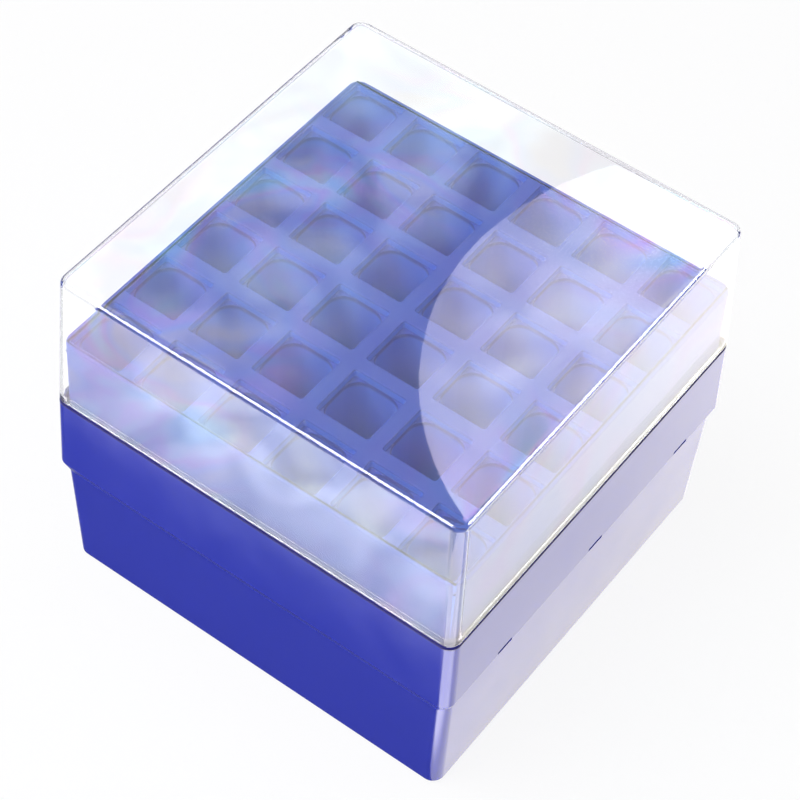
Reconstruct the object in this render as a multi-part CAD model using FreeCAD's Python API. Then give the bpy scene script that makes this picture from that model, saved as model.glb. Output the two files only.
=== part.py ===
import FreeCAD, Part
import os
from FreeCAD import Vector

# A freezer box for standing conical tubes: a base, a rack that drops into it and a clear lid.
# Millimetres. +Z is up, and the origin is under the middle of the base.
# Widths are given from the middle plane to one side ("half"), because every outline is square.

# Rack: the grid of cells
cells_per_side = 6
cell_width = 17.8
rib_width = 4.9
rack_border = 2.05
mouth_depth = 2.9
mouth_corner = 0.8
mouth_chamfer = 0.4
bore_corner = 3.3
bore_taper = 0.3
socket_depth = 28.6
socket_wall = 1.2

# Rack: the plate and the skirt that carry the grid
rack_plate = 4.0
rack_wall = 1.8
rack_flare = 0.6
rack_edge = 0.7

# Base
base_height = 74.0
base_floor = 2.0
base_wall = 2.4
ledge_height = 45.9
step_height = 6.0
step_width = 1.6
collar_flare = 0.65
collar_draft = 0.1
body_taper = 1.2
foot_chamfer = 0.8
rim_chamfer = 0.9

# Vents along the collar's lower edge, on the two X sides
vents_per_side = 3
vent_length = 6.8
vent_height = 3.6
vent_rise = 1.2
vent_depth = 1.4
vent_throat = 0.8
vent_shift = 2.0
cells_between_vents = 2

# Lid
lid_height = 49.1
lid_wall = 1.2
lid_roof = 1.4
lid_taper = 2.15
lid_edge = 1.5
lid_inner_edge = 0.8
lid_foot_edge = 0.5
bead_height = 2.4

# How far the rack's top stands above the base's rim, and the rounding of every upright corner
neck_height = 24.4
corner_radius = 4.0

# Clearances, on each side
rack_clearance = 0.3
lid_clearance = 0.38
bead_clearance = 0.55

# Heights of the main levels
rim_z = base_height
rack_top_z = rim_z + neck_height
lid_top_z = rim_z + lid_height
step_bottom_z = ledge_height - step_height

# Rack outline
cell_pitch = cell_width + rib_width
grid_half = (cells_per_side * cell_width + (cells_per_side - 1) * rib_width) / 2
rack_top_half = grid_half + rack_border
rack_foot_half = rack_top_half + rack_flare
rack_height = rack_top_z - ledge_height

# Lid outline: it clears the rack's top and ends flush with the base's rim
lid_slope = lid_taper / lid_height
lid_foot_half = rack_top_half + lid_clearance + lid_wall + lid_slope * neck_height
lid_top_half = lid_foot_half - lid_taper

# Base outline, from the rim down
rim_half = lid_foot_half
collar_half = rim_half + collar_flare
body_top_half = collar_half - step_width
bottom_half = body_top_half - body_taper
well_half = rack_foot_half + rack_clearance
body_slope = body_taper / step_bottom_z

# How much a flat corner's cut grows for each millimetre that all of its outline moves out
corner_growth = 2 - 2 ** 0.5

# How far a cutting shape runs past the faces that it opens
overrun = 1.0


def rounded_square(half, radius, z):
    """A closed square outline about the Z axis, with rounded corners, at height z."""
    flat = half - radius
    bulge = flat + radius * 0.5 ** 0.5
    edges = []
    for x, y in ((1, 1), (-1, 1), (-1, -1), (1, -1)):
        # The arc starts on the side that faces X where x and y agree, and on the other where not
        on_x = Vector(x * half, y * flat, z)
        on_y = Vector(x * flat, y * half, z)
        middle = Vector(x * bulge, y * bulge, z)
        start, end = (on_x, on_y) if x == y else (on_y, on_x)
        if edges:
            edges.append(Part.LineSegment(edges[-1].Vertexes[-1].Point, start).toShape())
        edges.append(Part.Arc(start, middle, end).toShape())
    edges.append(Part.LineSegment(edges[-1].Vertexes[-1].Point, edges[0].Vertexes[0].Point).toShape())
    return Part.Wire(edges)


def tapered_block(*levels):
    """A solid through rounded squares, each given as (half, corner radius, z), from the bottom up."""
    return Part.makeLoft([rounded_square(*level) for level in levels], True, True)


def eight_points(half, cut, z):
    """The points of a square about the Z axis with flat corners, which take "cut" off each side."""
    flat = half - cut
    points = []
    for x, y in ((1, 1), (-1, 1), (-1, -1), (1, -1)):
        on_x = Vector(x * half, y * flat, z)
        on_y = Vector(x * flat, y * half, z)
        points += [on_x, on_y] if x == y else [on_y, on_x]
    return points


def flat_face(points):
    """The flat face inside a closed line through points."""
    return Part.Face(Part.makePolygon(points + points[:1]))


def eight_sided_block(*levels):
    """A solid of flat faces through squares with flat corners, each given as (half, cut, z)."""
    rings = [eight_points(*level) for level in levels]
    faces = [flat_face(rings[0][::-1]), flat_face(rings[-1])]
    for low, high in zip(rings, rings[1:]):
        for a in range(8):
            b = (a + 1) % 8
            faces.append(flat_face([low[a], low[b], high[b], high[a]]))
    return Part.makeSolid(Part.makeShell(faces))


def outer_edges_at(shape, z):
    """The edges of a shape that lie in the plane at height z."""
    return [edge for edge in shape.Edges if all(abs(v.Z - z) < 1e-6 for v in edge.Vertexes)]


def cell_places():
    """The middle of every cell, row by row."""
    first = -(cells_per_side - 1) * cell_pitch / 2
    for row in range(cells_per_side):
        for column in range(cells_per_side):
            yield Vector(first + column * cell_pitch, first + row * cell_pitch, 0)


def at_every_cell(shape):
    """Copies of a shape made about the Z axis, one at every cell."""
    copies = []
    for place in cell_places():
        copy = shape.copy()
        copy.translate(place)
        copies.append(copy)
    return copies


def make_rack():
    """Top plate with open cells, a square socket under each, and a skirt that stands on the ledge."""
    slope = rack_flare / rack_height
    plate_z = rack_top_z - rack_plate
    edge_z = rack_top_z - rack_edge
    edge_half = rack_top_half + slope * rack_edge
    inner_top_half = rack_top_half + slope * rack_plate - rack_wall
    inner_corner = corner_radius - rack_wall
    shell = tapered_block(
        (rack_foot_half, corner_radius, ledge_height),
        (edge_half, corner_radius, edge_z),
        (rack_top_half - rack_edge, corner_radius - rack_edge, rack_top_z),
    )
    hollow = tapered_block(
        (rack_foot_half - rack_wall, inner_corner, ledge_height),
        (inner_top_half, inner_corner, plate_z),
    )

    # The mouth is nearly square, and the bore under it has wide flat corners that hug a round tube
    mouth_half = cell_width / 2
    mouth_z = rack_top_z - mouth_depth
    bore_end_z = plate_z - socket_depth
    bore_end_half = mouth_half - bore_taper
    socket_corner = bore_corner + corner_growth * socket_wall
    mouth = eight_sided_block(
        (mouth_half, mouth_corner, mouth_z),
        (mouth_half, mouth_corner, rack_top_z - mouth_chamfer),
        (mouth_half + mouth_chamfer, mouth_corner + corner_growth * mouth_chamfer, rack_top_z),
    )
    bore = eight_sided_block(
        (bore_end_half, bore_corner, bore_end_z),
        (mouth_half, bore_corner, mouth_z),
    )
    socket = eight_sided_block(
        (bore_end_half + socket_wall, socket_corner, bore_end_z),
        (mouth_half + socket_wall, socket_corner, plate_z),
    )
    plate_and_skirt = shell.cut(hollow)
    body = plate_and_skirt.multiFuse(at_every_cell(socket))
    return body.cut(Part.makeCompound(at_every_cell(mouth) + at_every_cell(bore))).removeSplitter()


def vent_shapes():
    """What the vents cut away: a notch in the collar's lower edge, and a lower throat right through."""
    outside = collar_half + overrun
    back = collar_half - vent_depth
    floor_z = ledge_height + vent_rise - vent_height
    shapes = []
    for number in range(vents_per_side):
        steps_from_middle = number - (vents_per_side - 1) / 2
        middle_y = vent_shift + steps_from_middle * cells_between_vents * cell_pitch
        for start, end, height in (
            (-outside, -back, vent_height),
            (back, outside, vent_height),
            (-outside, outside, vent_throat),
        ):
            corner = Vector(start, middle_y - vent_length / 2, floor_z)
            shapes.append(Part.makeBox(end - start, vent_length, height, corner))
    return shapes


def make_base():
    """Open box with a stepped-out collar, a ledge inside it for the rack, and vents in its edge."""
    inner_corner = corner_radius - base_wall
    outside = tapered_block(
        (bottom_half - foot_chamfer, corner_radius - foot_chamfer, 0),
        (bottom_half + body_slope * foot_chamfer, corner_radius, foot_chamfer),
        (body_top_half, corner_radius, step_bottom_z),
        (collar_half, corner_radius, ledge_height),
        (rim_half, corner_radius, rim_z - rim_chamfer),
        (rim_half - rim_chamfer, corner_radius - rim_chamfer, rim_z),
    )
    body_room = tapered_block(
        (bottom_half + body_slope * base_floor - base_wall, inner_corner, base_floor),
        (body_top_half - base_wall, inner_corner, ledge_height),
    )
    collar_room = tapered_block(
        (well_half, corner_radius - collar_draft, ledge_height),
        (well_half + collar_draft, corner_radius, rim_z),
    )
    return outside.cut(Part.makeCompound([body_room, collar_room] + vent_shapes())).removeSplitter()


def make_lid():
    """Clear cover with drafted sides, rounded top edges and a thicker bead along its foot."""
    inner_corner = corner_radius - lid_wall
    room_top_z = lid_top_z - lid_roof
    outside = tapered_block(
        (lid_foot_half, corner_radius, rim_z),
        (lid_top_half, corner_radius, lid_top_z),
    )
    outside = outside.makeFillet(lid_edge, outer_edges_at(outside, lid_top_z))
    outside = outside.makeFillet(lid_foot_edge, outer_edges_at(outside, rim_z))

    # The bead stays clear of the neck, which is widest where the two are level at rest
    neck_half = rack_top_half + rack_flare * neck_height / rack_height
    bead_half = neck_half + bead_clearance
    bead_z = rim_z + bead_height
    room = tapered_block(
        (lid_foot_half - lid_wall - lid_slope * bead_height, inner_corner, bead_z),
        (lid_top_half + lid_slope * lid_roof - lid_wall, inner_corner, room_top_z),
    )
    room = room.makeFillet(lid_inner_edge, outer_edges_at(room, room_top_z))
    foot_room = tapered_block((bead_half, inner_corner, rim_z), (bead_half, inner_corner, bead_z))
    return outside.cut(room).cut(foot_room).removeSplitter()


def main():
    """Build the three pieces, report them and write their files."""
    os.makedirs("parts", exist_ok=True)
    for node, make in (("base", make_base), ("tube_rack", make_rack), ("lid", make_lid)):
        shape = make()
        box = shape.BoundBox
        print(
            f"{node}: {len(shape.Solids)} solid, valid {shape.isValid()}, {shape.Volume / 1000:.1f} cm3, "
            f"x {box.XMin:.2f} {box.XMax:.2f}, y {box.YMin:.2f} {box.YMax:.2f}, "
            f"z {box.ZMin:.2f} {box.ZMax:.2f}"
        )
        shape.exportStep(f"parts/{node}.step")


main()
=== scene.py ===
"""Looks of a square freezer box: a stepped base, a drop-in rack of open cells and a clear lid."""

import logging
import math
from collections.abc import Sequence
from dataclasses import dataclass
from enum import Enum

import bmesh
import bpy
from mathutils import Matrix, Vector

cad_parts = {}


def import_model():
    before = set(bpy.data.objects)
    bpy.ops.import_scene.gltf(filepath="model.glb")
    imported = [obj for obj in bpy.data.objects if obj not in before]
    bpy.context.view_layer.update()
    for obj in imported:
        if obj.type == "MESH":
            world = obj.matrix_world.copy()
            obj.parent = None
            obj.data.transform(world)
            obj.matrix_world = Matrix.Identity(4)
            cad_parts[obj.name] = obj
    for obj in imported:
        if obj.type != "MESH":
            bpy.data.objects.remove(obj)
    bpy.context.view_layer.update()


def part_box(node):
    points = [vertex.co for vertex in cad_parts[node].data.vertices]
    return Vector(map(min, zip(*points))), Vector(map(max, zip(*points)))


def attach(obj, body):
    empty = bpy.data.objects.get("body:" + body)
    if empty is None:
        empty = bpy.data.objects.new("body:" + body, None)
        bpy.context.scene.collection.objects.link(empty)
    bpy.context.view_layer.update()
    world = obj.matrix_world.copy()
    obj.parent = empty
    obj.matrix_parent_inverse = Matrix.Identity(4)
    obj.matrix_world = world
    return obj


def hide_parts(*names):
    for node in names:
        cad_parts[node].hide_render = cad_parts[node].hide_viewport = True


MM = 0.001

# A square's corners, anticlockwise
SIGNS = ((1, 1), (-1, 1), (-1, -1), (1, -1))

# How many steps a round corner or edge is divided into
CORNER_STEPS = 11
CELL_CORNER_STEPS = 7
VENT_CORNER_STEPS = 4
MOUTH_STEPS = 4
FILLET_STEPS = 5
LID_FILLET_STEPS = 6

# The least radius of an upright corner, in millimetres
LEAST_CORNER = 0.3

SHARP_ANGLE = math.radians(32)
PLASTIC_IOR = 1.5
WHITE = (1.0, 1.0, 1.0)

# The width of the camera's sensor, in millimetres
SENSOR_WIDTH = 36.0

# How high a level card lies where its height isn't given, in metres
CARD_Z = 0.0005
DISC_STEPS = 64

# A ray's depth is above this after one bounce or more
NO_BOUNCE = 0.5

Flat = tuple[float, float]
Place = tuple[float, float, float]
Colour = tuple[float, float, float]
Ring = list[bmesh.types.BMVert]
Socket = bpy.types.NodeSocket

log = logging.getLogger("freezer_box")


class Body(Enum):
    """The bodies of the frame that pieces ride on."""

    BASE = "base_body"
    LID = "lid_body"


class Axis(Enum):
    """The two level axes."""

    X = "X"
    Y = "Y"


class Space(Enum):
    """What coordinates are counted in: a piece's own space, or a direction in the room."""

    PIECE = "Object"
    ROOM = "Generated"


class Bounce(Enum):
    """What a ray has bounced by, as the Light Path node counts it."""

    DIFFUSE = "Diffuse Depth"
    GLOSSY = "Glossy Depth"
    TRANSMISSION = "Transmission Depth"


class Ease(Enum):
    """How a value goes from one limit to the other."""

    EVEN = "LINEAR"
    SMOOTH = "SMOOTHSTEP"


class Maths(Enum):
    """The calculations of the Math node that are used here."""

    ADD = "ADD"
    SUBTRACT = "SUBTRACT"
    MULTIPLY = "MULTIPLY"
    MAXIMUM = "MAXIMUM"
    ABSOLUTE = "ABSOLUTE"
    GREATER_THAN = "GREATER_THAN"
    LESS_THAN = "LESS_THAN"


def round_cornered(middle: Flat, straight: Flat, radius: float, steps: int) -> list[Flat]:
    """Give a rectangle's outline with round corners, anticlockwise.

    Args:
        middle: The rectangle's middle.
        straight: How far it runs straight from its middle, along both axes.
        radius: The corners' radius.
        steps: How many steps each corner is divided into.

    Returns:
        The points, with steps + 1 of them to a corner.
    """
    found = []
    for quarter, (side_a, side_b) in enumerate(SIGNS):
        for step in range(steps + 1):
            angle = (quarter + step / steps) * math.pi / 2
            a = middle[0] + side_a * straight[0] + radius * math.cos(angle)
            b = middle[1] + side_b * straight[1] + radius * math.sin(angle)
            found.append((a, b))
    return found


@dataclass(frozen=True)
class Level:
    """One level of a loft: a square outline with round corners about the Z axis, in millimetres."""

    half: float
    corner: float
    z: float

    def points(self, steps: int, middle: Flat = (0.0, 0.0)) -> list[Vector]:
        """Give the outline's points in metres, anticlockwise from the side that faces +X.

        Args:
            steps: How many steps each corner is divided into.
            middle: Where the outline's middle stands, in millimetres.

        Returns:
            The points, with steps + 1 of them to a corner.
        """
        flat = self.half - self.corner
        outline = round_cornered(middle, (flat, flat), self.corner, steps)
        return [Vector((x, y, self.z)) * MM for x, y in outline]


@dataclass(frozen=True)
class Knee:
    """A corner of an upright section, with the rounding that the mould gives it."""

    half: float
    z: float
    corner: float
    fillet: float = 0.0


def rounded_section(knees: Sequence[Knee], steps: int = FILLET_STEPS) -> list[Level]:
    """Turn a section's corners into the levels of a loft.

    Args:
        knees: The section's corners in order, with their fillets.
        steps: How many steps each fillet is divided into.

    Returns:
        The levels, in the same order.
    """
    levels = []
    for before, knee, after in zip([None, *knees], knees, [*knees[1:], None]):
        if before is None or after is None or not knee.fillet:
            levels.append(Level(knee.half, knee.corner, knee.z))
            continue
        here = Vector((knee.half, knee.z))
        back = (Vector((before.half, before.z)) - here).normalized()
        on = (Vector((after.half, after.z)) - here).normalized()
        opening = back.angle(on) / 2
        centre = here + (back + on).normalized() * (knee.fillet / math.sin(opening))
        start = here + back * (knee.fillet / math.tan(opening)) - centre
        end = here + on * (knee.fillet / math.tan(opening)) - centre
        sweep = start.angle(end)
        for step in range(steps + 1):
            share = step / steps
            spoke = start * math.sin((1 - share) * sweep) + end * math.sin(share * sweep)
            place = centre + spoke / math.sin(sweep)
            corner = max(knee.corner - (knee.half - place.x), LEAST_CORNER)
            levels.append(Level(place.x, corner, place.y))
    return levels


class Shell:
    """A mesh that is built from rings of points and the faces between them."""

    def __init__(self) -> None:
        """Start with no faces."""
        self.mesh = bmesh.new()

    def ring(self, points: Sequence[Vector]) -> Ring:
        """Add the points of one ring, which are in metres, and give its vertices."""
        return [self.mesh.verts.new(point) for point in points]

    def face(self, corners: Sequence[bmesh.types.BMVert]) -> None:
        """Add one face, from its vertices in order."""
        self.mesh.faces.new(corners)

    def band(self, low: Ring, high: Ring) -> None:
        """Join two rings by a band of four-sided faces.

        Args:
            low: The first ring.
            high: The second ring, of as many points.
        """
        count = len(low)
        for a in range(count):
            b = (a + 1) % count
            self.face((low[a], low[b], high[b], high[a]))

    def loft(self, levels: Sequence[Level], steps: int, middle: Flat = (0.0, 0.0)) -> tuple[Ring, Ring]:
        """Add a wall through outlines.

        Args:
            levels: The outlines in order.
            steps: How many steps each of their corners is divided into.
            middle: Where the outlines' middle stands, in millimetres.

        Returns:
            The wall's first and last ring.
        """
        rings = [self.ring(level.points(steps, middle)) for level in levels]
        for low, high in zip(rings, rings[1:]):
            self.band(low, high)
        return rings[0], rings[-1]

    def piece(self, name: str) -> bpy.types.Object:
        """Close the mesh and put it in the scene.

        Args:
            name: The object's name.

        Returns:
            The new object.
        """
        bmesh.ops.recalc_face_normals(self.mesh, faces=self.mesh.faces[:])
        data = bpy.data.meshes.new(name)
        self.mesh.to_mesh(data)
        self.mesh.free()
        made = bpy.data.objects.new(name, data)
        bpy.context.scene.collection.objects.link(made)
        return made


def flat_piece(name: str, corners: Sequence[Place]) -> bpy.types.Object:
    """Put a single flat face in the scene.

    Args:
        name: The object's name.
        corners: The face's corners in metres.

    Returns:
        The new object.
    """
    shell = Shell()
    shell.face(shell.ring([Vector(corner) for corner in corners]))
    return shell.piece(name)


def cut_with(piece: bpy.types.Object, cutter: bpy.types.Object) -> None:
    """Take one object's shape out of another's mesh.

    Args:
        piece: The object that is cut.
        cutter: The shape that is taken out. The object goes.
    """
    modifier = piece.modifiers.new("cut", "BOOLEAN")
    modifier.operation = "DIFFERENCE"
    modifier.solver = "EXACT"
    modifier.use_self = True
    modifier.object = cutter
    depsgraph = bpy.context.evaluated_depsgraph_get()
    piece.data = bpy.data.meshes.new_from_object(piece.evaluated_get(depsgraph))
    piece.modifiers.clear()
    bpy.data.objects.remove(cutter)


def shade(piece: bpy.types.Object, material: bpy.types.Material) -> None:
    """Give a piece its material, with soft shading that keeps flat walls flat.

    Args:
        piece: The piece.
        material: Its material.
    """
    piece.data.materials.clear()
    piece.data.materials.append(material)
    piece.data.polygons.foreach_set("material_index", [0] * len(piece.data.polygons))
    piece.data.shade_smooth()
    piece.data.set_sharp_from_angle(angle=SHARP_ANGLE)
    weighted = piece.modifiers.new("flat_walls", "WEIGHTED_NORMAL")
    weighted.keep_sharp = True


@dataclass(frozen=True)
class NoiseKind:
    """How a noise is made: its finer layers, how strong those are, and how far it is drawn about."""

    detail: float
    roughness: float = 0.5
    distortion: float = 0.0


class Graph:
    """Places and joins the nodes of one material or node group."""

    def __init__(self, tree: bpy.types.NodeTree) -> None:
        """Start on a tree, without the nodes that it came with."""
        self.tree = tree
        tree.nodes.clear()

    def add(self, kind: str, settings: dict | None = None, **values: object) -> bpy.types.Node:
        """Add a node.

        Args:
            kind: The node's type, such as ShaderNodeBump.
            settings: Properties of the node itself.
            values: What feeds its inputs, by their names with _ for a space: a socket or a value.

        Returns:
            The node.
        """
        node = self.tree.nodes.new(kind)
        for name, value in (settings or {}).items():
            setattr(node, name, value)
        for name, value in values.items():
            self.feed(node.inputs[name.replace("_", " ")], value)
        return node

    def feed(self, socket: Socket, value: object) -> None:
        """Join a socket to another, or give it a plain value.

        Args:
            socket: The input that is fed.
            value: The output that feeds it, or the plain value.
        """
        if isinstance(value, Socket):
            self.tree.links.new(value, socket)
        else:
            socket.default_value = value

    def place(self, space: Space = Space.PIECE) -> Socket:
        """Add the shaded point's coordinates in one space."""
        return self.add("ShaderNodeTexCoord").outputs[space.value]

    def axes(self, place: Socket) -> bpy.types.bpy_prop_collection:
        """Split coordinates into the outputs X, Y and Z."""
        return self.add("ShaderNodeSeparateXYZ", Vector=place).outputs

    def maths(self, operation: Maths, first: object, second: object = 0.0) -> Socket:
        """Add a calculation with one or two numbers.

        Args:
            operation: What is worked out.
            first: The first number, or the socket that gives it.
            second: The second number, or the socket that gives it.

        Returns:
            The result's socket.
        """
        node = self.add("ShaderNodeMath", {"operation": operation.value})
        self.feed(node.inputs[0], first)
        self.feed(node.inputs[1], second)
        return node.outputs[0]

    def remap(
        self,
        value: Socket,
        start: float,
        end: float,
        low: object = 0.0,
        high: object = 1.0,
        ease: Ease = Ease.EVEN,
    ) -> Socket:
        """Turn a value between two limits into one between two others.

        Args:
            value: The value's socket.
            start: The value that becomes low.
            end: The value that becomes high.
            low: The result at the start and before it, or the socket that gives it.
            high: The result at the end and after it, or the socket that gives it.
            ease: How the result goes from one to the other.

        Returns:
            The result's socket.
        """
        node = self.add(
            "ShaderNodeMapRange",
            {"interpolation_type": ease.value},
            Value=value,
            From_Min=start,
            From_Max=end,
            To_Min=low,
            To_Max=high,
        )
        return node.outputs["Result"]

    def noise(self, place: Socket, scale: object, kind: NoiseKind) -> Socket:
        """Add noise.

        Args:
            place: The coordinates' socket.
            scale: The noise's scale per metre, or its socket.
            kind: How the noise is made.

        Returns:
            The noise's value.
        """
        node = self.add(
            "ShaderNodeTexNoise",
            Vector=place,
            Scale=scale,
            Detail=kind.detail,
            Roughness=kind.roughness,
            Distortion=kind.distortion,
        )
        return node.outputs["Fac"]

    def blend(self, share: object, first: object, second: object) -> Socket:
        """Mix two colours.

        Args:
            share: How much of the second colour there is, or the socket that gives it.
            first: The first colour, or its socket.
            second: The second colour, or its socket.

        Returns:
            The mixed colour's socket.
        """
        node = self.add("ShaderNodeMix", {"data_type": "RGBA"})
        self.feed(node.inputs["Factor"], share)
        # The Mix node has an A, a B and a result of every type, told apart by their number only
        self.feed(node.inputs[6], first)
        self.feed(node.inputs[7], second)
        return node.outputs[2]

    def mix_shaders(self, share: Socket, first: Socket, second: Socket) -> Socket:
        """Mix two shaders.

        Args:
            share: The socket that says how much of the second there is.
            first: The first shader.
            second: The second shader.

        Returns:
            The mixed shader's socket.
        """
        node = self.add("ShaderNodeMixShader")
        for socket, given in zip(node.inputs, (share, first, second)):
            self.feed(socket, given)
        return node.outputs["Shader"]

    def output(self, shader: Socket) -> None:
        """Send a shader to the surface."""
        self.add("ShaderNodeOutputMaterial", Surface=shader)


def new_material(name: str) -> tuple[bpy.types.Material, Graph]:
    """Make a material without nodes.

    Args:
        name: The material's name.

    Returns:
        The material and the graph that its nodes go in.
    """
    made = bpy.data.materials.new(name)
    made.use_nodes = True
    return made, Graph(made.node_tree)


class Effect:
    """A shader node group that more than one material uses, with named inputs and outputs."""

    def __init__(self, name: str, inputs: dict[str, object], outputs: dict[str, str]) -> None:
        """Make the group's sockets and its graph.

        Args:
            name: The group's name.
            inputs: Each input's name with its default, a number or a colour of four.
            outputs: Each output's name with its socket type.
        """
        self.group = bpy.data.node_groups.new(name, "ShaderNodeTree")
        for label, default in inputs.items():
            kind = "NodeSocketFloat" if isinstance(default, float) else "NodeSocketColor"
            socket = self.group.interface.new_socket(label, in_out="INPUT", socket_type=kind)
            socket.default_value = default
        for label, kind in outputs.items():
            self.group.interface.new_socket(label, in_out="OUTPUT", socket_type=kind)
        self.graph = Graph(self.group)
        self.given = self.graph.add("NodeGroupInput").outputs
        self.results = self.graph.add("NodeGroupOutput").inputs
        self.place = self.graph.place()

    def use(self, graph: Graph, **values: object) -> bpy.types.bpy_prop_collection:
        """Place the group in a material, feed its inputs as Graph.add does, and give its outputs."""
        return graph.add("ShaderNodeGroup", {"node_tree": self.group}, **values).outputs


class MouldSkin(Effect):
    """The skin that a mould leaves on plastic: a fine grain, slow waves and uneven polish."""

    GRAIN = NoiseKind(2.0, 0.55)
    WAVE = NoiseKind(1.0, 0.4)
    POLISH = NoiseKind(3.0, 0.6)
    POLISH_SCALE = 1.7

    def __init__(self) -> None:
        """Build the group."""
        super().__init__(
            "mould_skin",
            {"Grain Scale": 1100.0, "Wave Scale": 38.0, "Wave Share": 0.6},
            {"Height": "NodeSocketFloat", "Polish": "NodeSocketFloat"},
        )
        graph, given = self.graph, self.given
        grain = graph.noise(self.place, given["Grain Scale"], self.GRAIN)
        wave = graph.noise(self.place, given["Wave Scale"], self.WAVE)
        waved = graph.maths(Maths.MULTIPLY, wave, given["Wave Share"])
        left = graph.maths(Maths.SUBTRACT, 1.0, given["Wave Share"])
        grained = graph.maths(Maths.MULTIPLY, grain, left)
        graph.feed(self.results["Height"], graph.maths(Maths.ADD, waved, grained))
        scale = graph.maths(Maths.MULTIPLY, given["Wave Scale"], self.POLISH_SCALE)
        graph.feed(self.results["Polish"], graph.noise(self.place, scale, self.POLISH))


class UnevenColour(Effect):
    """A plastic's colour where pigment and wall thickness aren't quite even."""

    CLOUD = NoiseKind(3.0, 0.5, 0.4)

    def __init__(self) -> None:
        """Build the group."""
        grey = (0.5, 0.5, 0.5, 1.0)
        super().__init__(
            "uneven_colour",
            {"Colour": grey, "Deep Colour": grey, "Cloud Scale": 24.0, "Depth": 0.5},
            {"Colour": "NodeSocketColor"},
        )
        graph, given = self.graph, self.given
        cloud = graph.noise(self.place, given["Cloud Scale"], self.CLOUD)
        share = graph.maths(Maths.MULTIPLY, cloud, given["Depth"])
        graph.feed(self.results["Colour"], graph.blend(share, given["Colour"], given["Deep Colour"]))


class PastelBloom(Effect):
    """The pale pink, blue and peach patches that strain in clear plastic shows."""

    STOPS = (
        (0.34, (0.22, 0.80, 1.00, 1.0)),
        (0.43, (0.90, 0.96, 1.00, 1.0)),
        (0.50, (1.00, 0.36, 0.80, 1.0)),
        (0.56, (0.62, 0.60, 1.00, 1.0)),
        (0.64, (1.00, 0.76, 0.50, 1.0)),
    )
    CLOUD = NoiseKind(2.0, 0.45, 1.6)
    PATCHES = NoiseKind(1.0, 0.4)
    PATCH_SCALE = 0.55
    PATCH_START = 0.36
    PATCH_END = 0.58

    def __init__(self) -> None:
        """Build the group."""
        super().__init__(
            "pastel_bloom",
            {"Plain Colour": (*WHITE, 1.0), "Bloom Scale": 16.0, "Strength": 0.6},
            {"Colour": "NodeSocketColor"},
        )
        graph, given = self.graph, self.given
        cloud = graph.noise(self.place, given["Bloom Scale"], self.CLOUD)
        ramp = graph.add("ShaderNodeValToRGB", Fac=cloud)
        stops = ramp.color_ramp.elements
        ready = len(stops)
        for number, (place, colour) in enumerate(self.STOPS):
            stop = stops[number] if number < ready else stops.new(place)
            stop.position = place
            stop.color = colour
        scale = graph.maths(Maths.MULTIPLY, given["Bloom Scale"], self.PATCH_SCALE)
        patches = graph.noise(self.place, scale, self.PATCHES)
        spread = graph.remap(patches, self.PATCH_START, self.PATCH_END)
        share = graph.maths(Maths.MULTIPLY, spread, given["Strength"])
        tinted = graph.blend(share, given["Plain Colour"], ramp.outputs["Color"])
        graph.feed(self.results["Colour"], tinted)


@dataclass
class Effects:
    """The node groups, built once and shared by the finishes."""

    skin: MouldSkin
    uneven: UnevenColour
    bloom: PastelBloom

    @classmethod
    def build(cls) -> "Effects":
        """Build every group."""
        return cls(MouldSkin(), UnevenColour(), PastelBloom())


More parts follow.
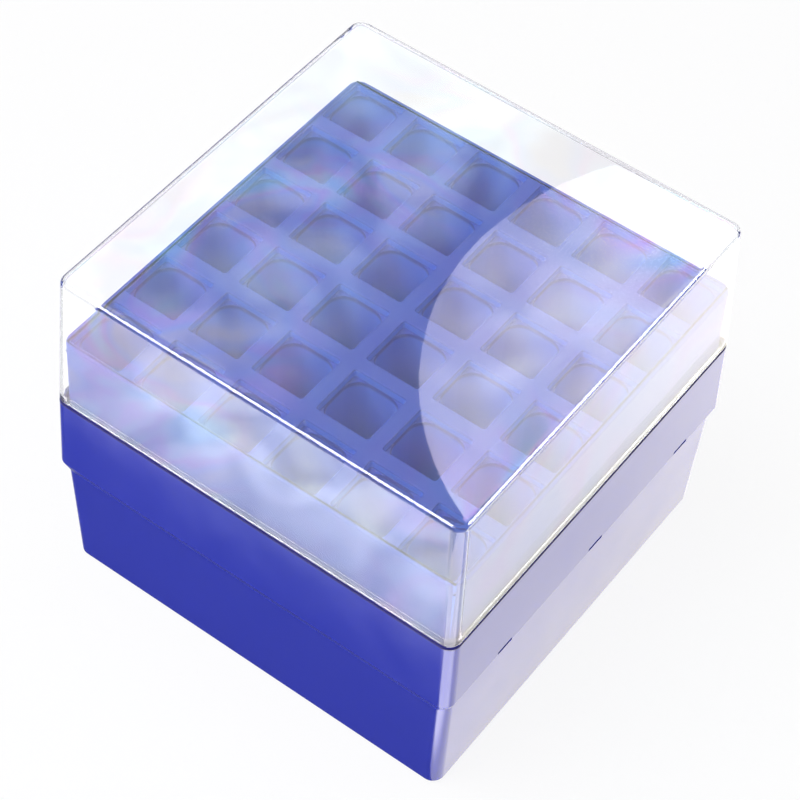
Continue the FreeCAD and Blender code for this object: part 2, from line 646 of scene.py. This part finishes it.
@dataclass(frozen=True)
class OpaquePlastic:
    """Moulded coloured plastic with a soft gloss.

    A second colour is painted light and shade: a paler one lightens the shade in deep cells, and a darker
    one paints shade into a seam. It fills a band between two heights, in metres, with soft edges. Under
    the band's foot it comes in again, by a share that is full at below_end. All of it stays within a
    square about the Z axis.
    """

    name: str
    colour: Colour
    deep_colour: Colour
    smooth: float
    matt: float
    grain_scale: float = 1100.0
    wave_scale: float = 34.0
    wave_share: float = 0.75
    smooth_at: float = 0.3
    matt_at: float = 0.7
    cloud: float = 0.5
    gloss: float = 0.5
    painted_light_shade_colour: Colour | None = None
    band_top: float = 0.0
    band_foot: float = 0.0
    band_fade: float = 0.0004
    below_share: float = 0.0
    below_start: float = 0.0008
    below_end: float = 0.002
    band_within: float = 0.0
    relief: float = 0.00002

    def material(self, effects: Effects) -> bpy.types.Material:
        """Build the material.

        Args:
            effects: The shared node groups.

        Returns:
            The material.
        """
        made, graph = new_material(self.name)
        skin = effects.skin.use(
            graph, Grain_Scale=self.grain_scale, Wave_Scale=self.wave_scale, Wave_Share=self.wave_share
        )
        tint = effects.uneven.use(
            graph, Colour=(*self.colour, 1.0), Deep_Colour=(*self.deep_colour, 1.0), Depth=self.cloud
        )
        colour = tint["Colour"]
        # Painted light and shade: the second colour lightens shaded cells or darkens a shaded seam
        if self.painted_light_shade_colour:
            colour = graph.blend(self.painted_light_shade_mask(graph), colour, (*self.painted_light_shade_colour, 1.0))
        bump = graph.add("ShaderNodeBump", Height=skin["Height"], Distance=self.relief)
        plastic = graph.add(
            "ShaderNodeBsdfPrincipled",
            Base_Color=colour,
            Roughness=graph.remap(skin["Polish"], self.smooth_at, self.matt_at, self.smooth, self.matt),
            IOR=PLASTIC_IOR,
            Specular_IOR_Level=self.gloss,
            Normal=bump.outputs["Normal"],
        )
        graph.output(plastic.outputs["BSDF"])
        return made

    def painted_light_shade_mask(self, graph: Graph) -> Socket:
        """Say where the painted light and shade shows: in its band and, by a share, below it.

        Args:
            graph: The material's graph.

        Returns:
            The socket that holds 0 for the plastic's own colour to 1 for the painted light and shade.
        """
        place = graph.axes(graph.place())
        under = graph.remap(place["Z"], self.band_top, self.band_top - self.band_fade)
        over = graph.remap(place["Z"], self.band_foot, self.band_foot + self.band_fade)
        below = graph.remap(
            place["Z"],
            self.band_foot - self.below_start,
            self.band_foot - self.below_end,
            high=self.below_share,
        )
        depth = graph.maths(Maths.MAXIMUM, graph.maths(Maths.MULTIPLY, under, over), below)
        beside = [graph.maths(Maths.ABSOLUTE, place[axis.value]) for axis in Axis]
        inside = graph.maths(Maths.LESS_THAN, graph.maths(Maths.MAXIMUM, *beside), self.band_within)
        return graph.maths(Maths.MULTIPLY, depth, inside)


@dataclass(frozen=True)
class ClearPlastic:
    """Clear moulded sheet with a slight milkiness.

    It lets the lamps through. Light that has bounced in it for long goes straight on, and so does
    light that has already crossed one of its walls.
    """

    name: str
    colour: Colour
    clearness: float
    roughness: float
    bloom_strength: float
    shadow_colour: Colour
    wave_scale: float = 26.0
    wave_share: float = 0.99
    relief: float = 0.00003
    longest_path: float = 4.5
    crossings: float = 1.5

    def material(self, effects: Effects) -> bpy.types.Material:
        """Build the material.

        Args:
            effects: The shared node groups.

        Returns:
            The material.
        """
        made, graph = new_material(self.name)
        skin = effects.skin.use(graph, Wave_Scale=self.wave_scale, Wave_Share=self.wave_share)
        bloom = effects.bloom.use(graph, Plain_Colour=(*self.colour, 1.0), Strength=self.bloom_strength)
        bump = graph.add("ShaderNodeBump", Height=skin["Height"], Distance=self.relief)
        clear = graph.add(
            "ShaderNodeBsdfPrincipled",
            Base_Color=bloom["Colour"],
            Roughness=self.roughness,
            IOR=PLASTIC_IOR,
            Transmission_Weight=self.clearness,
            Normal=bump.outputs["Normal"],
        )
        light = graph.add("ShaderNodeBsdfTransparent", Color=(*self.shadow_colour, 1.0))
        path = graph.add("ShaderNodeLightPath").outputs
        caught = graph.maths(Maths.GREATER_THAN, path["Ray Depth"], self.longest_path)
        crossed = graph.maths(Maths.GREATER_THAN, path["Transmission Depth"], self.crossings)
        straight = graph.maths(Maths.MAXIMUM, caught, crossed)
        through = graph.maths(Maths.MAXIMUM, path["Is Shadow Ray"], straight)
        graph.output(graph.mix_shaders(through, clear.outputs["BSDF"], light.outputs["BSDF"]))
        return made


BASE_PLASTIC = OpaquePlastic(
    "cobalt_plastic",
    colour=(0.032, 0.046, 0.47),
    deep_colour=(0.024, 0.037, 0.42),
    smooth=0.16,
    matt=0.24,
    # Painted shade: a near-black blue over the rim's seam groove, where the lid's foot meets the base
    painted_light_shade_colour=(0.012, 0.010, 0.12),
    band_top=0.0745,
    band_foot=0.0726,
    band_within=0.1,
)
RACK_PLASTIC = OpaquePlastic(
    "rack_blue_plastic",
    colour=(0.026, 0.090, 0.45),
    deep_colour=(0.044, 0.070, 0.42),
    smooth=0.40,
    matt=0.52,
    cloud=1.2,
    gloss=0.05,
    # Painted light: a paler blue on the cell mouths' walls, shelves and bores, which lightens their shade
    painted_light_shade_colour=(0.078, 0.200, 0.80),
    band_top=0.0982,
    band_foot=0.0955,
    below_share=1.0,
    band_within=0.0668,
    relief=0.000008,
)
LID_PLASTIC = ClearPlastic(
    "clear_plastic",
    colour=(0.985, 0.99, 1.0),
    clearness=0.975,
    roughness=0.014,
    bloom_strength=0.18,
    shadow_colour=(0.97, 0.97, 0.98),
)


@dataclass
class Piece:
    """What every sub-assembly of the box shares: its node, its body, its slot and its finish.

    The radius of the upright corners is shared too, in millimetres.
    """

    node: str
    body: Body
    slot: str
    finish: OpaquePlastic | ClearPlastic
    corner: float = 4.0

    def settle(self, made: bpy.types.Object, effects: Effects) -> bpy.types.Object:
        """Dress a new mesh, let it stand for its node and ride on its body.

        Args:
            made: The new mesh object.
            effects: The shared node groups.

        Returns:
            The same object.
        """
        shade(made, self.finish.material(effects))
        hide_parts(self.node)
        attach(made, self.body.value)
        log.info("%s: %d faces, rides on %s", made.name, len(made.data.polygons), self.body.value)
        return made


@dataclass
class Base(Piece):
    """The open box: body, stepped-out collar, inner ledge and notched vents, in millimetres.

    The step starts step_ease higher than the solid's, which makes it as faint as in the photograph.
    """

    node: str = "base"
    body: Body = Body.BASE
    slot: str = "base_plastic"
    finish: OpaquePlastic = BASE_PLASTIC
    wall: float = 2.4
    floor: float = 2.0
    step_width: float = 1.6
    step_height: float = 6.0
    collar_flare: float = 0.65
    body_taper: float = 1.2
    ledge_z: float = 45.9
    well_half: float = 68.6
    well_draft: float = 0.1
    foot: float = 0.8
    rim: float = 0.9
    step_ease: float = 1.6
    step_fillet: float = 1.0
    collar_fillet: float = 0.6
    rim_fillet: float = 0.2
    well_fillet: float = 0.2
    ledge_fillet: float = 0.3
    floor_fillet: float = 0.8
    floor_inset: float = 3.0
    vents_per_side: int = 3
    vent_pitch: float = 45.4
    vent_shift: float = 2.0
    vent_length: float = 6.8
    vent_height: float = 3.6
    vent_rise: float = 1.2
    vent_depth: float = 1.4
    vent_throat: float = 0.8
    vent_end: float = 0.35
    overrun: float = 1.0
    throat_inset: float = 1.5

    def section(self) -> list[Knee]:
        """Give the section from under the foot, up the outside, over the rim and down to the floor.

        Returns:
            The section's corners.
        """
        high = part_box(self.node)[1]
        collar = high.x / MM
        top = high.z / MM
        outer = collar - self.step_width
        bottom = outer - self.body_taper
        rim = collar - self.collar_flare
        inner = self.corner - self.wall
        step_z = self.ledge_z - self.step_height
        slope = self.body_taper / step_z
        return [
            Knee(bottom - self.foot, 0.0, self.corner - self.foot),
            Knee(bottom + slope * self.foot, self.foot, self.corner, self.foot),
            Knee(outer + slope * self.step_ease, step_z + self.step_ease, self.corner, self.step_fillet),
            Knee(collar, self.ledge_z, self.corner, self.collar_fillet),
            Knee(rim, top - self.rim, self.corner, self.rim_fillet),
            Knee(rim - self.rim, top, self.corner - self.rim, self.rim_fillet),
            Knee(self.well_half + self.well_draft, top, self.corner, self.rim_fillet),
            Knee(self.well_half, self.ledge_z, self.corner - self.well_draft, self.well_fillet),
            Knee(outer - self.wall, self.ledge_z, inner, self.ledge_fillet),
            Knee(bottom + slope * self.floor - self.wall, self.floor, inner, self.floor_fillet),
            Knee(bottom - self.wall - self.floor_inset, self.floor, inner),
        ]

    def vents(self) -> bpy.types.Object:
        """Make what the vents cut away, as one object.

        Returns:
            A notch from outside for every vent on both sides, each with its throat.
        """
        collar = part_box(self.node)[1].x / MM
        outside = collar + self.overrun
        back = collar - self.vent_depth
        throat_end = outside - self.throat_inset
        floor_z = self.ledge_z + self.vent_rise - self.vent_height
        shell = Shell()
        for number in range(self.vents_per_side):
            middle_y = self.vent_shift + (number - (self.vents_per_side - 1) / 2) * self.vent_pitch
            for start, end, height in (
                (-outside, -back, self.vent_height),
                (back, outside, self.vent_height),
                (-throat_end, throat_end, self.vent_throat),
            ):
                self.add_slot(shell, start, end, middle_y, floor_z + height / 2, height)
        return shell.piece("vent_cutter")

    def add_slot(self, shell: Shell, start: float, end: float, y: float, z: float, height: float) -> None:
        """Add one slot along X with rounded corners.

        Args:
            shell: The mesh that gets it.
            start: Where it starts along X.
            end: Where it ends along X.
            y: The middle of its length.
            z: The middle of its height.
            height: How high it is.
        """
        straight = (self.vent_length / 2 - self.vent_end, height / 2 - self.vent_end)
        outline = round_cornered((y, z), straight, self.vent_end, VENT_CORNER_STEPS)
        rings = [shell.ring([Vector((x, v, w)) * MM for v, w in outline]) for x in (start, end)]
        shell.band(*rings)
        for ring in rings:
            shell.face(ring)

    def build(self, effects: Effects) -> bpy.types.Object:
        """Build and dress the base.

        Args:
            effects: The shared node groups.

        Returns:
            The base's object.
        """
        shell = Shell()
        for ring in shell.loft(rounded_section(self.section()), CORNER_STEPS):
            shell.face(ring)
        made = shell.piece("stepped_base")
        cut_with(made, self.vents())
        return self.settle(made, effects)


@dataclass
class TubeRack(Piece):
    """The drop-in rack: top plate, cells with hanging sockets and skirt, in millimetres."""

    node: str = "tube_rack"
    body: Body = Body.BASE
    slot: str = "rack_plastic"
    finish: OpaquePlastic = RACK_PLASTIC
    cells_per_side: int = 6
    cell_width: float = 17.8
    rib_width: float = 4.9
    mouth_depth: float = 2.9
    mouth_corner: float = 0.8
    mouth_edge: float = 0.45
    mouth_draft: float = 0.05
    shelf_ease: float = 0.02
    shelf_roll: float = 0.3
    shelf_rise: float = 0.05
    shelf_dip: float = 0.1
    shelf_edge: float = 0.4
    bore_corner: float = 5.6
    bore_taper: float = 0.3
    socket_depth: float = 28.6
    socket_wall: float = 1.2
    socket_edge: float = 0.2
    plate: float = 4.0
    wall: float = 1.8
    flare: float = 0.6
    edge: float = 0.7
    edge_inset: float = 2.0
    foot_fillet: float = 0.3
    top_margin: float = 0.9
    under_margin: float = 0.05
    under_gap: float = 0.1

    @property
    def pitch(self) -> float:
        """The distance from one cell's middle to the next."""
        return self.cell_width + self.rib_width

    @property
    def grid_half(self) -> float:
        """The distance from the rack's middle to the far side of its outer cells."""
        return self.pitch * self.cells_per_side / 2 - self.rib_width / 2

    def middles(self) -> list[Flat]:
        """Give every cell's middle.

        Returns:
            The places, row by row.
        """
        first = -(self.cells_per_side - 1) * self.pitch / 2
        places = [first + number * self.pitch for number in range(self.cells_per_side)]
        return [(x, y) for y in places for x in places]

    def cell_levels(self, top: float) -> list[Level]:
        """Give one cell's levels, from the mouth down the bore and up the socket's outside.

        Args:
            top: The height of the rack's top.

        Returns:
            The levels, the last of them at the plate's underside.
        """
        half, edge = self.cell_width / 2, self.mouth_edge
        shelf = top - self.mouth_depth
        under = top - self.plate
        end = under - self.socket_depth
        mouth_half = half - self.mouth_draft
        end_half = half - self.bore_taper
        outer_half = end_half + self.socket_wall
        outer_corner = self.bore_corner + self.socket_wall
        ease, bevel = self.shelf_ease, self.socket_edge
        levels = []
        for step in range(MOUTH_STEPS + 1):
            angle = math.pi / 2 * step / MOUTH_STEPS
            out = edge * (1 - math.sin(angle))
            levels.append(Level(half + out, self.mouth_corner + out, top - edge * (1 - math.cos(angle))))
        levels += [
            Level(mouth_half, self.mouth_corner, shelf + self.shelf_roll),
            Level(mouth_half - ease, self.mouth_corner + self.shelf_roll, shelf + self.shelf_rise),
            Level(mouth_half - 2 * ease, self.bore_corner - self.shelf_edge, shelf - self.shelf_dip),
            Level(mouth_half - 3 * ease, self.bore_corner, shelf - self.shelf_edge),
            Level(end_half, self.bore_corner, end + bevel),
            Level(end_half + bevel, self.bore_corner + bevel, end),
            Level(outer_half - bevel, outer_corner - bevel, end),
            Level(outer_half, outer_corner, end + bevel),
            Level(half + self.socket_wall, outer_corner, under),
        ]
        return levels

    def perforated_sheet(
        self, shell: Shell, edge: Ring, holes: Sequence[Ring], border: float, z: float
    ) -> None:
        """Fill a level between its outer ring and the rings of its cells.

        Args:
            shell: The mesh that gets the faces.
            edge: The outer ring.
            holes: The cells' rings, row by row.
            border: Half the width of the square that holds all the cells' own tiles.
            z: The level's height.
        """
        count = self.cells_per_side
        lines = [(number - count / 2) * self.pitch for number in range(count + 1)]
        lines[0], lines[-1] = -border, border
        knots = [shell.ring([Vector((x, y, z)) * MM for y in lines]) for x in lines]
        for number, hole in enumerate(holes):
            row, column = divmod(number, count)
            corners = (
                knots[column + 1][row + 1],
                knots[column][row + 1],
                knots[column][row],
                knots[column + 1][row],
            )
            for quarter in range(4):
                between = self.stretch(hole, quarter)
                shell.face([corners[quarter], corners[(quarter + 1) % 4], *reversed(between)])
        sides = (
            [knots[number][count] for number in range(count + 1)],
            [knots[0][number] for number in range(count + 1)],
            [knots[number][0] for number in reversed(range(count + 1))],
            [knots[count][number] for number in reversed(range(count + 1))],
        )
        for quarter, side in enumerate(sides):
            shell.face([*self.stretch(edge, quarter), *side])

    def stretch(self, ring: Ring, quarter: int) -> Ring:
        """Give the part of a ring from the middle of one corner to the middle of the next.

        Args:
            ring: A ring of four corners with as many points each.
            quarter: The corner that the part starts in.

        Returns:
            The part's vertices.
        """
        share = len(ring) // 4
        start = quarter * share + share // 2
        return [ring[number % len(ring)] for number in range(start, start + share + 1)]

    def build(self, effects: Effects) -> bpy.types.Object:
        """Build and dress the rack.

        Args:
            effects: The shared node groups.

        Returns:
            The rack's object.
        """
        low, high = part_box(self.node)
        foot, top = low.z / MM, high.z / MM
        foot_half = high.x / MM
        top_half = foot_half - self.flare
        under = top - self.plate
        inner_half = self.grid_half + self.socket_wall + self.under_gap
        shell = Shell()
        skirt = rounded_section(
            [
                Knee(top_half - self.edge_inset, top, self.corner - self.edge_inset),
                Knee(top_half, top, self.corner, self.edge),
                Knee(foot_half, foot, self.corner, self.foot_fillet),
                Knee(foot_half - self.wall, foot, self.corner - self.wall, self.foot_fillet),
                Knee(inner_half, under, self.corner - self.wall),
            ]
        )
        edge, inner = shell.loft(skirt[1:], CELL_CORNER_STEPS)
        levels = self.cell_levels(top)
        cells = [shell.loft(levels, CELL_CORNER_STEPS, middle) for middle in self.middles()]
        mouths, roots = [first for first, _ in cells], [last for _, last in cells]
        self.perforated_sheet(shell, edge, mouths, self.grid_half + self.top_margin, top)
        self.perforated_sheet(shell, inner, roots, inner_half - self.under_margin, under)
        return self.settle(shell.piece("cell_rack"), effects)


@dataclass
class Lid(Piece):
    """The clear cover, in millimetres."""

    node: str = "lid"
    body: Body = Body.LID
    slot: str = "lid_plastic"
    finish: ClearPlastic = LID_PLASTIC
    wall: float = 1.2
    roof: float = 1.4
    taper: float = 2.15
    edge: float = 1.5
    inner_edge: float = 0.8
    foot_edge: float = 0.5
    inner_foot_edge: float = 0.2
    bead_height: float = 2.4
    bead_half: float = 68.53
    bead_slope: float = 0.4
    bead_fillet: float = 0.25
    roof_inset: float = 3.0
    ceiling_inset: float = 2.0

    def section(self) -> list[Knee]:
        """Give the section from the roof's outside down to the foot and up the inside.

        Returns:
            The section's corners.
        """
        low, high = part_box(self.node)
        foot, top = low.z / MM, high.z / MM
        foot_half = high.x / MM
        top_half = foot_half - self.taper
        slope = self.taper / (top - foot)
        inner = self.corner - self.wall
        bead_top = foot + self.bead_height
        wall_half = foot_half - self.wall - slope * self.bead_height
        ceiling = top - self.roof
        return [
            Knee(top_half - self.roof_inset, top, self.corner - self.roof_inset),
            Knee(top_half, top, self.corner, self.edge),
            Knee(foot_half, foot, self.corner, self.foot_edge),
            Knee(self.bead_half, foot, inner, self.inner_foot_edge),
            Knee(self.bead_half, bead_top, inner, self.bead_fillet),
            Knee(wall_half, bead_top + self.bead_slope, inner, self.bead_fillet),
            Knee(top_half + slope * self.roof - self.wall, ceiling, inner, self.inner_edge),
            Knee(top_half - self.wall - self.ceiling_inset, ceiling, inner - self.ceiling_inset),
        ]

    def build(self, effects: Effects) -> bpy.types.Object:
        """Build and dress the lid.

        Args:
            effects: The shared node groups.

        Returns:
            The lid's object.
        """
        shell = Shell()
        for ring in shell.loft(rounded_section(self.section(), LID_FILLET_STEPS), CORNER_STEPS):
            shell.face(ring)
        return self.settle(shell.piece("clear_lid"), effects)


@dataclass(frozen=True)
class Fade:
    """How a card's light grows along one axis from a low share to full, between places in metres."""

    axis: Axis
    start: float
    end: float
    low: float = 0.0


@dataclass(frozen=True)
class LightCard:
    """A lit card that only reflections show, as a studio's white cards are placed."""

    name: str
    corners: Sequence[Place]
    colour: Colour
    strength: float
    fade: Fade
    bloom: float = 0.0
    bloom_scale: float = 6.0
    patches: float = 0.0
    patch_kind: NoiseKind = NoiseKind(1.0, distortion=0.8)
    patches_per_bloom: float = 2.0
    patch_start: float = 0.35
    patch_end: float = 0.65

    def light(self, graph: Graph) -> Socket:
        """Give the card's strength, faded along its axis and uneven in patches.

        Args:
            graph: The card's graph.

        Returns:
            The strength's socket.
        """
        place = graph.place()
        along = graph.axes(place)[self.fade.axis.value]
        weakest = self.fade.low * self.strength
        faded = graph.remap(along, self.fade.start, self.fade.end, weakest, self.strength, Ease.SMOOTH)
        noise = graph.noise(place, self.bloom_scale * self.patches_per_bloom, self.patch_kind)
        least, most = 1.0 - self.patches, 1.0 + self.patches
        uneven = graph.remap(noise, self.patch_start, self.patch_end, least, most)
        return graph.maths(Maths.MULTIPLY, faded, uneven)

    def build(self, effects: Effects) -> bpy.types.Object:
        """Put the card in the scene.

        Args:
            effects: The shared node groups.

        Returns:
            The card's object.
        """
        made = flat_piece(self.name, self.corners)
        material, graph = new_material(self.name)
        tint = effects.bloom.use(
            graph, Plain_Colour=(*self.colour, 1.0), Bloom_Scale=self.bloom_scale, Strength=self.bloom
        )
        glow = graph.add("ShaderNodeEmission", Color=tint["Colour"], Strength=self.light(graph))
        graph.output(glow.outputs["Emission"])
        made.data.materials.append(material)
        made.visible_camera = False
        made.visible_diffuse = False
        made.visible_transmission = False
        made.visible_shadow = False
        made.visible_volume_scatter = False
        log.info("%s: card of strength %.1f", self.name, self.strength)
        return made


def sheet(low: Flat, high: Flat, z: float = CARD_Z) -> list[Place]:
    """Give the corners of a level rectangle, from its least and its greatest x and y, in metres."""
    return [(low[0], low[1], z), (high[0], low[1], z), (high[0], high[1], z), (low[0], high[1], z)]


def disc(middle: Place, radius: float, steps: int = DISC_STEPS) -> list[Place]:
    """Give the corners of a level disc.

    Args:
        middle: The disc's middle, in metres.
        radius: Its radius, in metres.
        steps: How many corners it has.

    Returns:
        The corners, anticlockwise.
    """
    x, y, z = middle
    angles = [2 * math.pi * step / steps for step in range(steps)]
    return [(x + radius * math.cos(a), y + radius * math.sin(a), z) for a in angles]


@dataclass(frozen=True)
class Studio:
    """The plain white room, its lamp and the lit cards."""

    floor_half: float = 3.0
    floor_colour: Colour = (0.86, 0.86, 0.88)
    shadow_share: float = 0.10
    fill: float = 0.55
    fill_colour: Colour = (0.96, 0.97, 1.0)
    mirror_colour: Colour = (0.97, 0.97, 1.0)
    mirror_ground: float = 0.12
    mirror_sky: float = 0.4
    sheet_ground: float = 0.95
    horizon_low: float = -0.05
    horizon_high: float = 0.25
    behind: Flat = (-0.55, 0.83)
    behind_start: float = 0.32
    behind_end: float = 0.50
    lamp_place: Place = (-0.35, -0.45, 1.1)
    lamp_size: float = 0.9
    lamp_watts: float = 10.0
    edge_card_z: float = 0.9

    def after(self, graph: Graph, bounce: Bounce) -> Socket:
        """Say by 1 or 0 whether a ray comes after a bounce of one kind."""
        path = graph.add("ShaderNodeLightPath").outputs
        return graph.maths(Maths.GREATER_THAN, path[bounce.value], NO_BOUNCE)

    def build_floor(self) -> bpy.types.Object:
        """Lay the floor, which shows nearly white and keeps a soft shadow.

        Returns:
            The floor's object.
        """
        half = self.floor_half
        floor = flat_piece("studio_floor", sheet((-half, -half), (half, half), 0.0))
        material, graph = new_material("studio_floor")
        paper = graph.add("ShaderNodeBsdfDiffuse", Color=(*self.floor_colour, 1.0))
        white = graph.add("ShaderNodeEmission", Color=(*WHITE, 1.0), Strength=1.0)
        lit = graph.maths(Maths.MAXIMUM, self.after(graph, Bounce.DIFFUSE), self.shadow_share)
        graph.output(graph.mix_shaders(lit, white.outputs["Emission"], paper.outputs["BSDF"]))
        floor.data.materials.append(material)
        floor.visible_glossy = False
        return floor

    def build_world(self) -> None:
        """Light the room evenly, and show white to the camera and a dark ground in front in mirrors."""
        world = bpy.data.worlds.new("studio_world")
        bpy.context.scene.world = world
        world.use_nodes = True
        world.cycles.sampling_method = "NONE"
        graph = Graph(world.node_tree)
        way = graph.axes(graph.place(Space.ROOM))
        parts = [
            graph.maths(Maths.MULTIPLY, way[axis.value], share) for axis, share in zip(Axis, self.behind)
        ]
        back = graph.remap(graph.maths(Maths.ADD, *parts), self.behind_start, self.behind_end)
        pale = graph.maths(Maths.MAXIMUM, self.after(graph, Bounce.TRANSMISSION), back)
        ground = graph.remap(pale, 0.0, 1.0, self.mirror_ground, self.sheet_ground)
        mirrored = graph.remap(way["Z"], self.horizon_low, self.horizon_high, ground, self.mirror_sky)
        white, mirror, fill = (
            graph.add("ShaderNodeBackground", Color=(*colour, 1.0), Strength=strength).outputs[0]
            for colour, strength in (
                (WHITE, 1.0),
                (self.mirror_colour, mirrored),
                (self.fill_colour, self.fill),
            )
        )
        seen = graph.mix_shaders(self.after(graph, Bounce.GLOSSY), white, mirror)
        shown = graph.mix_shaders(self.after(graph, Bounce.DIFFUSE), seen, fill)
        graph.add("ShaderNodeOutputWorld", Surface=shown)

    def build_lamp(self) -> bpy.types.Object:
        """Hang the soft lamp over the box's left front.

        Returns:
            The lamp's object.
        """
        data = bpy.data.lights.new("soft_lamp", "AREA")
        data.shape = "DISK"
        data.size = self.lamp_size
        data.energy = self.lamp_watts
        lamp = bpy.data.objects.new("soft_lamp", data)
        lamp.location = self.lamp_place
        lamp.rotation_euler = (-Vector(self.lamp_place)).to_track_quat("-Z", "Y").to_euler()
        lamp.visible_glossy = False
        bpy.context.scene.collection.objects.link(lamp)
        return lamp

    def cards(self) -> list[LightCard]:
        """Give the cards: beside each front wall, round above, and for the lid's bright edges.

        Returns:
            The cards.
        """
        return [
            LightCard(
                "right_card",
                corners=sheet((0.0665, -0.30), (0.1075, 0.60)),
                colour=(1.0, 0.957, 0.81),
                strength=3.2,
                fade=Fade(Axis.Y, 0.02, 0.20, 0.7),
            ),
            LightCard(
                "lid_side_card",
                corners=sheet((0.1075, -0.30), (0.50, 0.60)),
                colour=(1.0, 0.945, 0.87),
                strength=3.3,
                fade=Fade(Axis.Y, 0.0, 0.16, 0.7),
            ),
            LightCard(
                "front_card",
                corners=sheet((-0.50, -0.60), (0.10, -0.122)),
                colour=(0.90, 0.97, 1.0),
                strength=4.9,
                fade=Fade(Axis.Y, -0.122, -0.150, 0.52),
                bloom=0.6,
                bloom_scale=18.0,
                patches=0.3,
            ),
            LightCard(
                "corner_card",
                corners=sheet((0.069, -0.17), (0.20, -0.069), 0.001),
                colour=(1.0, 0.97, 0.95),
                strength=6.5,
                fade=Fade(Axis.Y, -0.069, -0.085, 0.35),
            ),
            LightCard(
                "round_card",
                corners=disc((-0.078, 0.481, 0.7), 0.190),
                colour=(1.0, 0.97, 1.0),
                strength=8.2,
                fade=Fade(Axis.X, -0.27, -0.19, 0.52),
                bloom=1.0,
                bloom_scale=9.0,
                patches=0.2,
            ),
            LightCard(
                "left_haze_card",
                corners=sheet((-0.55, 0.10), (-0.15, 0.80), 0.75),
                colour=(0.62, 0.90, 1.0),
                strength=3.7,
                fade=Fade(Axis.X, -0.285, -0.35, 0.12),
                bloom=0.6,
                bloom_scale=10.0,
                patches=0.45,
            ),
            LightCard(
                "right_edge_card",
                corners=sheet((0.13, 0.38), (1.20, 0.98), self.edge_card_z),
                colour=WHITE,
                strength=28.0,
                fade=Fade(Axis.X, 0.13, 0.20, 0.5),
            ),
            LightCard(
                "front_edge_card",
                corners=sheet((-0.60, -0.84), (-0.12, -0.01), self.edge_card_z),
                colour=WHITE,
                strength=22.0,
                fade=Fade(Axis.Y, -0.01, -0.08, 0.5),
            ),
        ]

    def build(self, effects: Effects) -> None:
        """Build the whole studio.

        Args:
            effects: The shared node groups.
        """
        self.build_floor()
        self.build_world()
        self.build_lamp()
        for card in self.cards():
            card.build(effects)


@dataclass(frozen=True)
class Viewpoint:
    """The photograph's camera, in metres and degrees, with its lens in millimetres."""

    eye: Place = (0.2637, -0.3960, 0.6394)
    aim: Place = (0.0011, 0.0003, 0.06)
    roll: float = 4.04
    lens: float = 114.68
    nearest: float = 0.01
    farthest: float = 20.0

    def build(self) -> bpy.types.Object:
        """Set up the camera.

        Returns:
            The camera's object.
        """
        data = bpy.data.cameras.new("photo_camera")
        data.lens = self.lens
        data.sensor_width = SENSOR_WIDTH
        data.clip_start = self.nearest
        data.clip_end = self.farthest
        camera = bpy.data.objects.new("photo_camera", data)
        camera.location = self.eye
        look = (Vector(self.aim) - Vector(self.eye)).normalized()
        turn = look.to_track_quat("-Z", "Y").to_matrix()
        roll = Matrix.Rotation(math.radians(self.roll), 3, "Z")
        camera.rotation_euler = (turn @ roll).to_euler()
        bpy.context.scene.collection.objects.link(camera)
        bpy.context.scene.camera = camera
        return camera


def main() -> None:
    """Build the box piece by piece, then its studio."""
    logging.basicConfig(level=logging.INFO, format="%(name)s: %(message)s")
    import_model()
    bpy.context.scene.view_settings.view_transform = "Standard"
    Viewpoint().build()
    effects = Effects.build()
    for piece in (Base(), TubeRack(), Lid()):
        piece.build(effects)
    Studio().build(effects)


if __name__ == "__main__":
    main()
